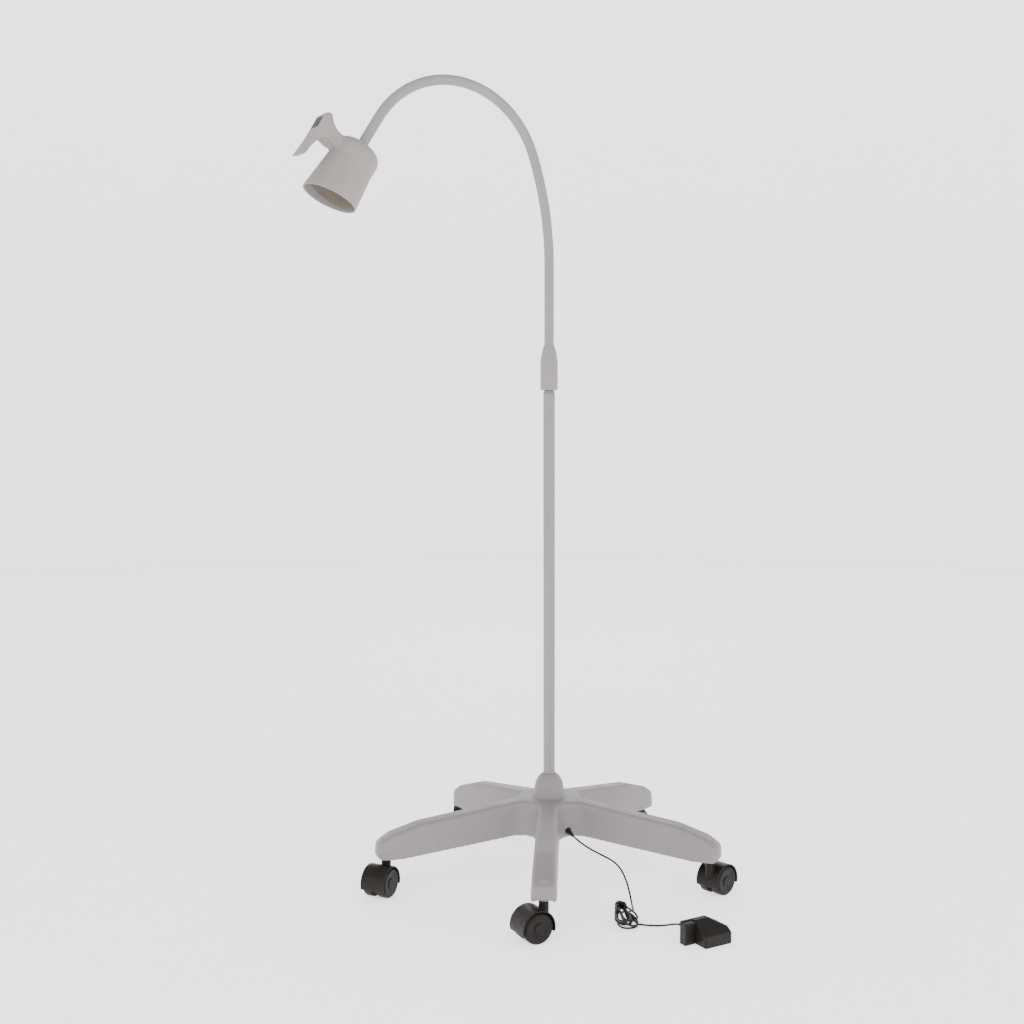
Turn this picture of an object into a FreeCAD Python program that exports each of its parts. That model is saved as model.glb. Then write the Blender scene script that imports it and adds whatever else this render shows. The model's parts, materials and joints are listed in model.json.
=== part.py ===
import FreeCAD, Part
import math
import os

import Sketcher
from FreeCAD import Placement, Rotation, Vector

# Examination light on a gooseneck, on a five-caster mobile stand.
# Origin: the pole's axis at floor level. +Z up. The gooseneck bends in the XZ plane, towards -X.

DIMENSIONS = {
    # stand
    "first_leg_angle": 21.4, "leg_count": 5,
    "stem_circle_radius": 288, "leg_end_radius": 307, "leg_end_round": 15,
    "leg_half_width": 21, "web_radius": 35, "leg_taper": 9, "leg_edge_round": 7,
    "tip_underside": 61, "hub_underside": 86, "hub_core_radius": 33,
    "tip_crest": 101, "middle_crest": 119, "hub_crest": 146, "cast_wall": 4,
    "dome_top": 188, "dome_shoulder_radius": 25, "dome_shoulder": 164,
    # pole
    "pole_radius": 10, "pole_wall": 1.5, "pole_foot": 100, "pole_top": 843,
    "fit_gap": 0.05, "lead_radius": 1.6, "lead_hole_radius": 4,
    # casters
    "wheel_radius": 25, "wheel_width": 17, "wheel_middle": 13.5, "axle_radius": 3,
    "trail": 20, "hood_gap": 1.5, "hood_wall": 2.5, "web_half_width": 4,
    "stem_radius": 5.5, "stem_grip": 26, "pivot_radius": 4, "pivot_length": 19,
    "collar_radius": 8,
    # gooseneck
    "ferrule_radius": 14.8, "ferrule_bottom": 849, "ferrule_shoulder": 881, "ferrule_top": 924,
    "spigot_radius": 7, "neck_radius": 8, "neck_bore_radius": 3.5, "neck_start": 915,
    "neck_straight": 141, "sweep_radius": 519, "sweep_angle": 20, "bend_radius": 155,
    "bend_angle": 127, "neck_end_run": 70, "first_joint": 51, "joint_step": 88, "joint_gap": 0.3,
    # head
    "mouth_radius": 43.5, "waist_radius": 37, "waist_depth": 66, "rear_radius": 37.5,
    "rear_depth": 97.5, "rear_round": 17, "shell_wall": 2.5, "mouth_slant": 7,
    "handle_half_width": 17, "lens_depth": 34, "lens_radius": 21, "screw_circle": 28,
    "nut_depth": 85, "nut_height": 6,
    # cord
    "cord_radius": 1.6, "gland_radius": 57, "gland_height": 98, "gland_droop": 22,
    "gland_flange": 5.5, "relief_length": 24,
}

doc = FreeCAD.newDocument("examination_light")
sheet = doc.addObject("Spreadsheet::Sheet", "Dimensions")
for row, (alias, number) in enumerate(DIMENSIONS.items(), start=1):
    sheet.set("A%d" % row, alias.replace("_", " "))
    sheet.set("B%d" % row, str(number))
    sheet.setAlias("B%d" % row, alias)
doc.recompute()


class Size:
    """A number that remembers the sheet expression which it comes from."""

    def __init__(self, value, text):
        self.value = float(value)
        self.text = text

    @staticmethod
    def of(other):
        return other if isinstance(other, Size) else Size(other, repr(float(other)))

    def __add__(self, other):
        other = Size.of(other)
        return Size(self.value + other.value, "(%s + %s)" % (self.text, other.text))

    def __sub__(self, other):
        other = Size.of(other)
        return Size(self.value - other.value, "(%s - %s)" % (self.text, other.text))

    def __mul__(self, other):
        other = Size.of(other)
        return Size(self.value * other.value, "(%s * %s)" % (self.text, other.text))

    def __truediv__(self, other):
        other = Size.of(other)
        return Size(self.value / other.value, "(%s / %s)" % (self.text, other.text))

    def __radd__(self, other):
        return Size.of(other) + self

    def __rsub__(self, other):
        return Size.of(other) - self

    def __rmul__(self, other):
        return Size.of(other) * self

    def __neg__(self):
        return Size.of(0) - self

    def __float__(self):
        return self.value


class Sheet:
    """The sheet's cells by name."""

    def __getattr__(self, alias):
        return Size(sheet.get(alias), "Dimensions." + alias)


d = Sheet()
UP = Vector(0, 0, 1)
parts = {}


def keep(label, obj, placement=None):
    """Give a finished sub-part its name, and its place when it isn't built there."""
    obj.Label = label
    if placement is not None:
        obj.Placement = placement
    parts[label] = obj
    return obj


# ---------------------------------------------------------------- building blocks

def block(kind, place=None, turn=None, **sizes):
    """A Part primitive whose sizes follow the sheet."""
    obj = doc.addObject("Part::" + kind, kind)
    for name, size in sizes.items():
        obj.setExpression(name, Size.of(size).text)
    at = Vector(*[float(c) for c in place]) if place else Vector()
    obj.Placement = Placement(at, turn or Rotation())
    for axis, size in zip("xyz", place or ()):
        if isinstance(size, Size):
            obj.setExpression(".Placement.Base." + axis, size.text)
    return obj


def rod(radius, low, high, x=0, y=0):
    """An upright cylinder from one height to another."""
    return block("Cylinder", (x, y, low), Radius=radius, Height=Size.of(high) - low)


def fuse(*objects):
    result = doc.addObject("Part::MultiFuse", "Fusion")
    result.Shapes = list(objects)
    return result


def cut(base, *tools):
    result = doc.addObject("Part::Cut", "Cut")
    result.Base = base
    result.Tool = tools[0] if len(tools) == 1 else fuse(*tools)
    return result


def common(first, second):
    result = doc.addObject("Part::Common", "Common")
    result.Base = first
    result.Tool = second
    return result


def plane_of(body, role):
    """One of a body's own origin planes or axes."""
    return next(f for f in body.Origin.OriginFeatures if f.Role == role)


def draw(body, role, outline):
    """A closed sketch. Each point is (across, up), or (across, up, radius) where an arc ends there.

    A positive radius bulges to the right of the way along the outline, a negative one to the left.
    """
    sketch = body.newObject("Sketcher::SketchObject", "Outline")
    sketch.AttachmentSupport = [(plane_of(body, role), "")]
    sketch.MapMode = "FlatFace"
    spots = [Vector(float(p[0]), float(p[1]), 0) for p in outline]
    count = len(spots)
    for i in range(count):
        start, end = spots[i - 1], spots[i]
        if len(outline[i]) == 2:
            sketch.addGeometry(Part.LineSegment(start, end), False)
            continue
        radius = float(outline[i][2])
        chord = end - start
        side = Vector(chord.y, -chord.x, 0).normalize()
        rise = abs(radius) - math.sqrt(radius ** 2 - (chord.Length / 2) ** 2)
        middle = (start + end) / 2 + side * math.copysign(rise, radius)
        sketch.addGeometry(Part.Arc(start, middle, end), False)
    for i in range(count):
        arc = len(outline[i]) == 3
        # an arc drawn clockwise is stored the other way round
        clockwise = arc and float(outline[i][2]) < 0
        last = 1 if clockwise else 2
        follower = outline[(i + 1) % count]
        first = 2 if len(follower) == 3 and float(follower[2]) < 0 else 1
        sketch.addConstraint(Sketcher.Constraint("Coincident", i, last, (i + 1) % count, first))
        for name, size in (("DistanceX", outline[i][0]), ("DistanceY", outline[i][1])):
            size = Size.of(size)
            if abs(size.value) < 1e-9:
                line = -2 if name == "DistanceX" else -1
                sketch.addConstraint(Sketcher.Constraint("PointOnObject", i, last, line))
                continue
            index = sketch.addConstraint(Sketcher.Constraint(name, -1, 1, i, last, size.value))
            sketch.setExpression("Constraints[%d]" % index, size.text)
        if arc:
            size = Size.of(outline[i][2])
            bend = size if size.value > 0 else -size
            index = sketch.addConstraint(Sketcher.Constraint("Radius", i, bend.value))
            sketch.setExpression("Constraints[%d]" % index, bend.text)
    return sketch


def turned(label, outline, placement=None):
    """A body turned about its own Z axis from an outline of (radius, height) points."""
    body = doc.addObject("PartDesign::Body", "Body")
    sketch = draw(body, "XZ_Plane", outline)
    turn = body.newObject("PartDesign::Revolution", "Revolution")
    turn.Profile = sketch
    turn.ReferenceAxis = (sketch, ["V_Axis"])
    turn.Angle = 360
    sketch.Visibility = False
    return keep(label, body, placement) if label else body


def padded(label, role, outline, thickness, placement=None, both_ways=True):
    """A body padded from an outline, the same amount to both sides of the sketch."""
    body = doc.addObject("PartDesign::Body", "Body")
    sketch = draw(body, role, outline)
    pad = body.newObject("PartDesign::Pad", "Pad")
    pad.Profile = sketch
    pad.Midplane = both_ways
    pad.setExpression("Length", Size.of(thickness).text)
    return keep(label, body, placement) if label else body


def round_edges(obj, radius, choose):
    """A Part::Fillet on the edges that the test picks."""
    doc.recompute()
    picked = [i for i, e in enumerate(obj.Shape.Edges, start=1) if choose(e)]
    fillet = doc.addObject("Part::Fillet", "Fillet")
    fillet.Base = obj
    fillet.Edges = [(i, float(radius), float(radius)) for i in picked]
    return fillet


def solid(label, shape, placement=None):
    """A sub-part whose shape is set directly, where no primitive or sketch fits."""
    obj = doc.addObject("Part::Feature", "Shape")
    obj.Shape = shape
    return keep(label, obj, placement or Placement())


def polar(radius, degrees, height=0.0):
    angle = math.radians(degrees)
    return Vector(float(radius) * math.cos(angle), float(radius) * math.sin(angle), float(height))


leg_angles = [d.first_leg_angle.value + 360 / 5 * k for k in range(int(d.leg_count.value))]
leg_names = ["right_rear", "rear", "left", "front", "right"]


# ---------------------------------------------------------------- stand: star base

def star_outline(half_width, end_radius, end_round, web_radius):
    """The star seen from above: straight legs, round ends, and an arc in each web."""
    edges = []
    half_step = math.radians(180 / 5)
    reach = (half_width + web_radius) / math.sin(half_step)
    touch = reach * math.cos(half_step)
    for angle in leg_angles:
        turn = Rotation(UP, angle)

        def at(x, y):
            return turn.multVec(Vector(x, y, 0))

        corner = end_round * (1 - math.sqrt(0.5))
        straight_end = end_radius - end_round
        side = half_width - end_round
        edges.append(Part.LineSegment(at(touch, -half_width), at(straight_end, -half_width)).toShape())
        edges.append(Part.Arc(at(straight_end, -half_width),
                              at(end_radius - corner, -half_width + corner),
                              at(end_radius, -side)).toShape())
        edges.append(Part.LineSegment(at(end_radius, -side), at(end_radius, side)).toShape())
        edges.append(Part.Arc(at(end_radius, side),
                              at(end_radius - corner, half_width - corner),
                              at(straight_end, half_width)).toShape())
        edges.append(Part.LineSegment(at(straight_end, half_width), at(touch, half_width)).toShape())
        web_middle = polar(reach - web_radius, angle + 36)
        web_end = Rotation(UP, 72).multVec(at(touch, -half_width))
        edges.append(Part.Arc(at(touch, half_width), web_middle, web_end).toShape())
    return Part.Wire(edges)


def star_body(inset):
    """The star's outer form, or its hollow when inset by the casting's wall."""
    end = d.leg_end_radius + 1 - inset
    crest = [(0, d.hub_crest + 2 - inset), (46, d.hub_crest - inset),
             (232, d.middle_crest - inset), (282, d.tip_crest + 2 - inset), (end, d.tip_crest - 15 - inset)]
    floor_low = d.tip_underside - inset
    outline = [(0, d.hub_underside - inset), (58, d.hub_underside - inset),
               (262, floor_low), (end - 9, floor_low), (end, floor_low + 8)]
    outline = outline + crest[::-1]
    disc = turned(None, [(Size.of(r), Size.of(h)) for r, h in outline])
    bottom = star_outline(d.leg_half_width.value - inset, d.leg_end_radius.value - inset,
                          d.leg_end_round.value - inset, d.web_radius.value)
    narrow = 0.5 * d.leg_taper.value
    top = star_outline(d.leg_half_width.value - inset - narrow,
                       d.leg_end_radius.value - inset - narrow,
                       d.leg_end_round.value - inset - narrow, d.web_radius.value)
    bottom.translate(Vector(0, 0, d.tip_underside.value - 6))
    top.translate(Vector(0, 0, d.hub_crest.value + 6))
    plan = doc.addObject("Part::Feature", "StarPlan")
    plan.Shape = Part.makeLoft([bottom, top], True, True)
    return common(disc, plan)


def make_star_base():
    outer = star_body(0)
    doc.recompute()

    def is_crest_edge(edge):
        box = edge.BoundBox
        steep = box.ZLength > 0.8 * max(box.XLength, box.YLength)
        return box.ZMin > d.tip_crest.value - 14 and not steep and edge.Length > 2

    shape = outer
    for radius in (d.leg_edge_round.value, 5, 3):
        trial = round_edges(outer, radius, is_crest_edge)
        doc.recompute()
        if trial.isValid() and not trial.Shape.isNull() and trial.Shape.isValid():
            shape = trial
            break
        doc.removeObject(trial.Name)
    dome = turned(None, [(0, d.hub_underside), (d.hub_core_radius, d.hub_underside),
                         (d.hub_core_radius, d.hub_crest - 8), (d.dome_shoulder_radius + 3, d.hub_crest + 4),
                         (d.dome_shoulder_radius, d.dome_shoulder),
                         (d.pole_radius + 1, d.dome_top, 30), (0, d.dome_top)])
    hollow = star_body(float(d.cast_wall))
    bosses = [rod(10, d.tip_underside, d.tip_crest - 4, *polar(d.stem_circle_radius, a)[:2])
              for a in leg_angles]
    flange = d.gland_flange.value
    inlet_boss = gland_channel("InletBoss", flange + 2.5, 30.0, d.gland_radius.value)
    inlet_seat = gland_channel("InletSeat", flange + 0.3, d.gland_radius.value, 80.0)
    inlet_hole = gland_channel("InletHole", d.lead_hole_radius.value, 8.0, 80.0)
    sockets = [rod(d.stem_radius + d.fit_gap, d.tip_underside - 8, d.tip_underside + d.stem_grip + 2,
                   *polar(d.stem_circle_radius, a)[:2]) for a in leg_angles]
    pole_hole = rod(d.pole_radius + d.fit_gap, d.pole_foot, d.dome_top + 10)
    bolt_hole = rod(5.5, d.hub_underside - 10, d.pole_foot + 2)
    whole = fuse(cut(shape, hollow), dome, inlet_boss, *bosses)
    keep("star_base", cut(whole, pole_hole, bolt_hole, inlet_seat, inlet_hole, *sockets))


# the cord goes in through the web between the front and the right leg, falling as it goes outwards
GLAND_ANGLE = leg_angles[3] + 36
DROOP = math.radians(d.gland_droop.value)
GLAND_AWAY = polar(math.cos(DROOP), GLAND_ANGLE, -math.sin(DROOP))
GLAND_SEAT = polar(d.gland_radius, GLAND_ANGLE, d.gland_height)


def gland_channel(name, radius, inner, outer):
    """A bar along the cord's way in, between two distances from the pole's axis."""
    start = GLAND_SEAT + GLAND_AWAY * ((inner - d.gland_radius.value) / math.cos(DROOP))
    bar = doc.addObject("Part::Feature", name)
    bar.Shape = Part.makeCylinder(radius, (outer - inner) / math.cos(DROOP), start, GLAND_AWAY)
    return bar


# ---------------------------------------------------------------- stand: pole

def make_pole():
    tube = cut(rod(d.pole_radius, d.pole_foot, d.pole_top),
               rod(d.pole_radius - d.pole_wall, d.pole_foot - 1, d.pole_top + 1))
    keep("pole", cut(tube, gland_channel("LeadWindow", d.lead_hole_radius.value, 4.0, 20.0)))
    inner = d.pole_radius - d.pole_wall
    turned("pole_insert", [(4.5, d.pole_foot), (inner, d.pole_foot),
                           (inner, d.pole_foot + 12), (4.5, d.pole_foot + 12)])
    head = d.hub_underside - 7
    turned("pole_bolt", [(0, head), (8, head), (8, d.hub_underside), (4.45, d.hub_underside),
                         (4.45, d.pole_foot + 11), (0, d.pole_foot + 11)])
    groove = d.ferrule_bottom + 14
    bush = turned(None, [(4, d.pole_top - 32), (inner, d.pole_top - 32), (inner, d.pole_top),
                         (d.pole_radius - 0.6, d.pole_top), (d.pole_radius - 0.6, d.ferrule_bottom - 0.6),
                         (d.spigot_radius, d.ferrule_bottom - 0.6), (d.spigot_radius, groove - 2.2),
                         (d.spigot_radius - 2, groove - 2.2), (d.spigot_radius - 2, groove + 2.2),
                         (d.spigot_radius, groove + 2.2),
                         (d.spigot_radius, d.ferrule_bottom + 27), (4, d.ferrule_bottom + 27)])
    stop = block("Box", (0.3 - d.spigot_radius, -1, groove - 2.4), Length=2.4, Width=2, Height=4.8)
    keep("pole_bush", fuse(bush, stop))


# ---------------------------------------------------------------- casters

def make_stems():
    stems = []
    for angle in leg_angles:
        spot = polar(d.stem_circle_radius, angle)
        stems.append(fuse(rod(d.stem_radius, d.tip_underside, d.tip_underside + d.stem_grip, *spot[:2]),
                          rod(d.pivot_radius, d.tip_underside - d.pivot_length, d.tip_underside, *spot[:2])))
    keep("caster_stems", fuse(*stems))


# the way each caster points at rest, from its stem towards its axle, as storage leaves them
CASTER_TRAILS = {"right_rear": 120.0, "rear": 60.0, "left": 215.0, "front": 180.0, "right": 15.0}


def make_caster(name, angle):
    """A hooded twin-wheel caster, built with its stem on Z and its axle behind along +X."""
    place = Placement(polar(d.stem_circle_radius, angle), Rotation(UP, CASTER_TRAILS[name]))
    hood_inner = d.wheel_radius + d.hood_gap
    hood_outer = hood_inner + d.hood_wall
    half = d.wheel_middle + d.wheel_width / 2
    across = Rotation(Vector(1, 0, 0), 90)
    height = d.wheel_radius
    drum = block("Cylinder", (d.trail, half, height), across, Radius=hood_outer, Height=half * 2)
    bay = block("Cylinder", (d.trail, half + 1, height), across, Radius=hood_inner, Height=half * 2 + 2)
    web = block("Cylinder", (d.trail, d.web_half_width, height), across,
                Radius=hood_inner + 0.5, Height=d.web_half_width * 2)
    under = block("Box", (d.trail - 60, -40, -30), Length=120, Width=80, Height=height + 22)
    collar = rod(d.collar_radius, height - 4, d.tip_underside - 1)
    tail = block("Cylinder", (d.trail, d.web_half_width, height), across,
                 Radius=9, Height=d.web_half_width * 2)
    clear = [block("Cylinder", (d.trail, y, height), across, Radius=hood_inner, Height=half)
             for y in (-d.web_half_width, half + d.web_half_width)]
    upper = cut(drum, bay, under)
    spine = cut(fuse(web, collar), clear[0], clear[1])
    low = block("Box", (d.trail - 60, -40, -60), Length=120, Width=80, Height=height + 52)
    body = fuse(upper, cut(spine, low), tail)
    axle_hole = block("Cylinder", (d.trail, 30, height), across,
                      Radius=d.axle_radius + d.fit_gap, Height=60)
    pivot_hole = rod(d.pivot_radius + d.fit_gap, d.tip_underside - d.pivot_length - 1, d.tip_underside + 5)
    keep("caster_hood_" + name, cut(body, axle_hole, pivot_hole), place)
    reach = half - 2
    axle_place = place.multiply(Placement(Vector(d.trail.value, 0, height.value), across))
    turned("caster_axle_" + name,
           [(0, -reach), (d.axle_radius, -reach), (d.axle_radius, reach), (0, reach)], axle_place)
    for side, sign in (("a", 1), ("b", -1)):
        middle = place.multVec(Vector(d.trail.value, sign * d.wheel_middle.value, height.value))
        turn = place.Rotation.multiply(Rotation(Vector(1, 0, 0), -90 * sign))
        half_width = d.wheel_width / 2
        bore = d.axle_radius + d.fit_gap
        wheel = turned("caster_wheel_%s_%s" % (name, side), [
            (bore, -half_width), (d.wheel_radius - 2, -half_width),
            (d.wheel_radius, -half_width + 2, 2), (d.wheel_radius, half_width - 5),
            (d.wheel_radius - 5, half_width, 5), (9, half_width - 1),
            (9, half_width + 0.5), (0, half_width + 0.5), (0, half_width - 1.7), (bore, half_width - 1.7)])
        wheel.Placement = Placement(middle, turn)


# ---------------------------------------------------------------- gooseneck

def make_ferrule():
    gap = d.spigot_radius + d.fit_gap
    ceiling = d.ferrule_bottom + 28
    body = turned(None, [
        (gap, d.ferrule_bottom), (d.ferrule_radius - 1.5, d.ferrule_bottom),
        (d.ferrule_radius, d.ferrule_bottom + 1.5, 1.5), (d.ferrule_radius, d.ferrule_shoulder),
        (d.neck_radius + 0.8, d.ferrule_top, 110), (d.neck_radius + 0.05, d.ferrule_top),
        (d.neck_radius + 0.05, d.neck_start), (4.5, d.neck_start), (4.5, ceiling), (gap, ceiling)])
    groove = d.ferrule_bottom + 14
    hole = block("Cylinder", (0, 0, groove), Rotation(Vector(0, 1, 0), 90), Radius=2.05, Height=20)
    keep("neck_ferrule", cut(body, hole))
    tip = d.spigot_radius - 1.2
    turned("ferrule_screw", [(0, tip), (2, tip), (2, d.ferrule_radius - 0.3), (0, d.ferrule_radius - 0.3)],
           Placement(Vector(0, 0, groove.value), Rotation(Vector(0, 1, 0), 90)))


def neck_point(along):
    """Place and heading (degrees from +X towards +Z) at a distance along the gooseneck."""
    spot = Vector(0, 0, d.neck_start.value)
    heading = 90.0
    pieces = [(d.neck_straight.value, 0.0), (math.radians(d.sweep_angle.value) * d.sweep_radius.value,
              d.sweep_radius.value), (math.radians(d.bend_angle.value) * d.bend_radius.value,
              d.bend_radius.value), (d.neck_end_run.value, 0.0)]
    for length, radius in pieces:
        step = min(along, length)
        way = math.radians(heading)
        if radius == 0.0:
            spot = spot + Vector(math.cos(way), 0, math.sin(way)) * step
        else:
            turn = step / radius
            middle = spot + Vector(-math.sin(way), 0, math.cos(way)) * radius
            spot = middle + Vector(math.sin(way + turn), 0, -math.cos(way + turn)) * radius
            heading += math.degrees(turn)
        along -= step
        if along <= 0:
            break
    return spot, heading


def neck_length():
    return (d.neck_straight.value + math.radians(d.sweep_angle.value) * d.sweep_radius.value
            + math.radians(d.bend_angle.value) * d.bend_radius.value + d.neck_end_run.value)


def neck_wire(start, end):
    """The gooseneck's centre line between two distances along it."""
    marks = [0.0, d.neck_straight.value]
    marks.append(marks[-1] + math.radians(d.sweep_angle.value) * d.sweep_radius.value)
    marks.append(marks[-1] + math.radians(d.bend_angle.value) * d.bend_radius.value)
    marks.append(neck_length())
    stops = [start] + [m for m in marks if start + 0.01 < m < end - 0.01] + [end]
    edges = []
    for low, high in zip(stops, stops[1:]):
        first, middle, last = (neck_point(a)[0] for a in (low, (low + high) / 2, high))
        bowed = (first + last) / 2
        if (bowed - middle).Length < 1e-6:
            edges.append(Part.LineSegment(first, last).toShape())
        else:
            edges.append(Part.Arc(first, middle, last).toShape())
    return Part.Wire(edges)


def neck_tube(start, end, radius):
    spot, heading = neck_point(start)
    way = math.radians(heading)
    ring = Part.Wire(Part.Circle(spot, Vector(math.cos(way), 0, math.sin(way)), radius).toShape())
    return neck_wire(start, end).makePipeShell([ring], True, True)


def neck_section(start, end, domed, cupped):
    """A length of the gooseneck: a dome at its far end turns in the next length's cup."""
    radius = d.neck_radius.value
    shape = neck_tube(start, end, radius)
    if domed:
        shape = shape.fuse(Part.makeSphere(radius, neck_point(end)[0]))
    if cupped:
        shape = shape.cut(Part.makeSphere(radius + d.joint_gap.value, neck_point(start)[0]))
    bore_end = min(end + (radius + 2 if domed else 0), neck_length())
    shape = shape.cut(neck_tube(max(start - 1, 0), bore_end, d.neck_bore_radius.value))
    return shape.removeSplitter()


def joint_distances():
    step = d.joint_step.value
    return [d.first_joint.value + step * k for k in range(8)]


def make_neck():
    joints = joint_distances()
    solid("neck_base", neck_section(0, joints[0], True, False))
    ends = joints[1:] + [neck_length()]
    for number, (start, end) in enumerate(zip(joints, ends), start=1):
        solid("neck_section_%d" % number, neck_section(start, end, number < 8, True))


# ---------------------------------------------------------------- head

# the heat sink's back face behind the lens's front face, and its disc
SINK_BACK = 25.6
SINK_THICKNESS = 6.0


def head_place():
    """Head frame: origin at the mouth's centre, +Z back along the head, +X towards the handle."""
    spot, heading = neck_point(neck_length())
    forward = Vector(math.cos(math.radians(heading)), 0, math.sin(math.radians(heading)))
    mouth = spot + forward * (d.nut_depth.value - 1)
    back = forward.negative()
    side = Vector(-back.z, 0, back.x)
    return Placement(mouth, Rotation(side, back.cross(side), back, "ZXY"))


def slant_block(depth, offset):
    """A large block in front of the mouth's slanted plane."""
    box = block("Box", (0, 0, 0), Length=240, Width=240, Height=depth)
    turn = Rotation(Vector(0, 1, 0), d.mouth_slant.value)
    corner = turn.multVec(Vector(-120, -120, -float(depth)))
    box.Placement = Placement(corner + Vector(0, 0, offset), turn)
    return box


def make_head():
    place = head_place()
    wall = d.shell_wall
    flare = 12
    mouth = d.mouth_radius + 1.2
    front = turned(None, [(mouth, -flare), (d.waist_radius, d.waist_depth),
                          (d.waist_radius - wall, d.waist_depth), (mouth - wall, -flare)])
    keep("head_front_shell", cut(front, slant_block(60, 0)), place)

    seam = d.waist_depth
    corner = d.rear_depth - d.rear_round
    lip = d.waist_radius - wall - 0.3
    lip_low = d.lens_depth + SINK_BACK
    neck_hole = d.neck_radius + d.fit_gap
    boss_low = d.nut_depth + d.nut_height
    rear = turned(None, [
        (lip - 3, lip_low), (lip, lip_low), (lip, seam), (d.rear_radius, seam), (d.rear_radius, corner),
        (d.rear_radius - d.rear_round, d.rear_depth, d.rear_round), (neck_hole, d.rear_depth),
        (neck_hole, boss_low), (14, boss_low),
        (14, d.rear_depth - wall), (d.rear_radius - d.rear_round, d.rear_depth - wall),
        (d.rear_radius - wall, corner, -(d.rear_round - wall)),
        (d.rear_radius - wall, seam + 6), (lip - 3, seam + 2)])
    handle = padded(None, "XZ_Plane", [
        (77.5, 22), (75, 56), (76, 92), (64.5, 103.5, 9.3), (57, 94.5, -25), (30, 90, -30),
        (28, 84), (33, 72), (36.9, 66.5), (40, 66.5), (48, 66.6, 30), (58.5, 68.5), (64.5, 58, 40),
        (68.5, 42), (69.5, 28)], d.handle_half_width * 2)
    core = turned(None, [(0, 30), (d.rear_radius - 0.4, 30), (d.rear_radius - 0.4, corner),
                         (d.rear_radius - d.rear_round, d.rear_depth - 0.4, d.rear_round - 0.4),
                         (0, d.rear_depth - 0.4)])
    window = block("Box", (d.mouth_radius + 29, -14.5, 74), Length=8, Width=29, Height=20)
    board_bay = block("Box", (d.mouth_radius + 23.5, -11, 77), Length=8, Width=22, Height=14)
    grip = cut(handle, core, window, board_bay)
    keep("head_rear_housing", fuse(rear, grip), place)

    pane = d.mouth_radius + 29.1
    padded("sensor_window", "XZ_Plane", [(pane, 74.1), (pane + 2.6, 74.1), (pane + 3.2, 93.9), (pane, 93.9)],
           28.8, place)
    padded("sensor_board", "XZ_Plane", [(pane - 4.6, 77.5), (pane - 3, 77.5), (pane - 3, 90.5),
                                        (pane - 4.6, 90.5)], 21, place)

    lens = d.lens_depth
    screw_spots = [polar(d.screw_circle, 60 + 120 * k)[:2] for k in range(3)]
    baffle = turned(None, [
        (d.mouth_radius - wall - 1.2, 10), (d.lens_radius + 4, lens - 1),
        (d.lens_radius + 4, lens + 4), (d.screw_circle + 4, lens + 4), (d.screw_circle + 4, lens + 6),
        (d.lens_radius + 2.5, lens + 6), (d.lens_radius + 2.5, lens - 2), (d.mouth_radius - wall - 2.8, 10)])
    keep("light_baffle", cut(baffle, *[rod(1.6, lens + 3, lens + 7, *spot) for spot in screw_spots]), place)
    turned("lens_ring", [
        (d.lens_radius - 3, lens - 2), (d.lens_radius + 2.4, lens - 2), (d.lens_radius + 2.4, lens + 4),
        (d.lens_radius + 0.1, lens + 4), (d.lens_radius + 0.1, lens), (d.lens_radius - 3, lens)], place)
    turned("lens", [(0, lens + 0.1), (d.lens_radius, lens + 0.1), (d.lens_radius, lens + 3),
                    (0, lens + 12, 29)], place)
    turned("led", [(0, lens + 16), (5, lens + 16), (5, lens + 18), (0, lens + 18)], place)
    turned("led_board", [(0, lens + 18), (14, lens + 18), (14, lens + 19.6), (0, lens + 19.6)], place)
    make_heat_sink(place, screw_spots)
    screws = [fuse(rod(1.5, lens + 4, lens + 15, *spot), rod(2.7, lens + 2, lens + 4, *spot))
              for spot in screw_spots]
    keep("head_screws", fuse(*screws), place)
    nut_top = d.nut_depth + d.nut_height
    turned("neck_nut", [(neck_hole, d.nut_depth), (13, d.nut_depth), (13, nut_top), (neck_hole, nut_top)],
           place)


def make_heat_sink(place, screw_spots):
    """A finned disc behind the lamp, with three posts that the baffle is screwed to."""
    low = d.lens_depth + SINK_BACK - SINK_THICKNESS
    disc = rod(d.waist_radius - d.shell_wall - 0.4, low, low + SINK_THICKNESS)
    fins = [block("Box", (-22, y, low + 5), Length=44, Width=1.6, Height=11) for y in range(-20, 21, 6)]
    posts = [rod(3.5, d.lens_depth + 6, low + 1, *spot) for spot in screw_spots]
    holes = [rod(1.5, d.lens_depth + 5, d.lens_depth + 16, *spot) for spot in screw_spots]
    keep("heat_sink", cut(fuse(disc, *fins, *posts), *holes), place)


# ---------------------------------------------------------------- cord and adapter

ADAPTER_CORNER = Vector(32.5, -409, 0)
RELIEF_ROOT = Vector(28, -368, 28)
RELIEF_AWAY = Vector(0.1, 0.93, -0.35).normalize()
RELIEF_TIP = RELIEF_ROOT + RELIEF_AWAY * d.relief_length.value
GLAND_BARREL = 12.0
GLAND_TAPER = 14.0
GLAND_FLANGE = 2.5
GLAND_TIP = GLAND_SEAT + GLAND_AWAY * (GLAND_FLANGE + GLAND_TAPER)

# corners of the cord's way from the gland to its hank, and from the hank to the adapter
CORD_ROUTE = [GLAND_TIP, Vector(8, -92, 84.5), Vector(14, -112, 78), Vector(28, -131, 69.5),
              Vector(43, -141, 60), Vector(52, -150, 47), Vector(53, -164, 31), Vector(48, -182, 14),
              Vector(40, -198, 6.5), Vector(31, -213, 8), Vector(22, -227, 11), Vector(13, -244, 13.3)]
ADAPTER_ROUTE = [Vector(-12, -276, 7), Vector(-1, -283, 5), Vector(11, -288, 2.8), Vector(23, -296, 2.6),
                 Vector(30, -309, 6), Vector(31.5, -325, 13), RELIEF_TIP]


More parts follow.
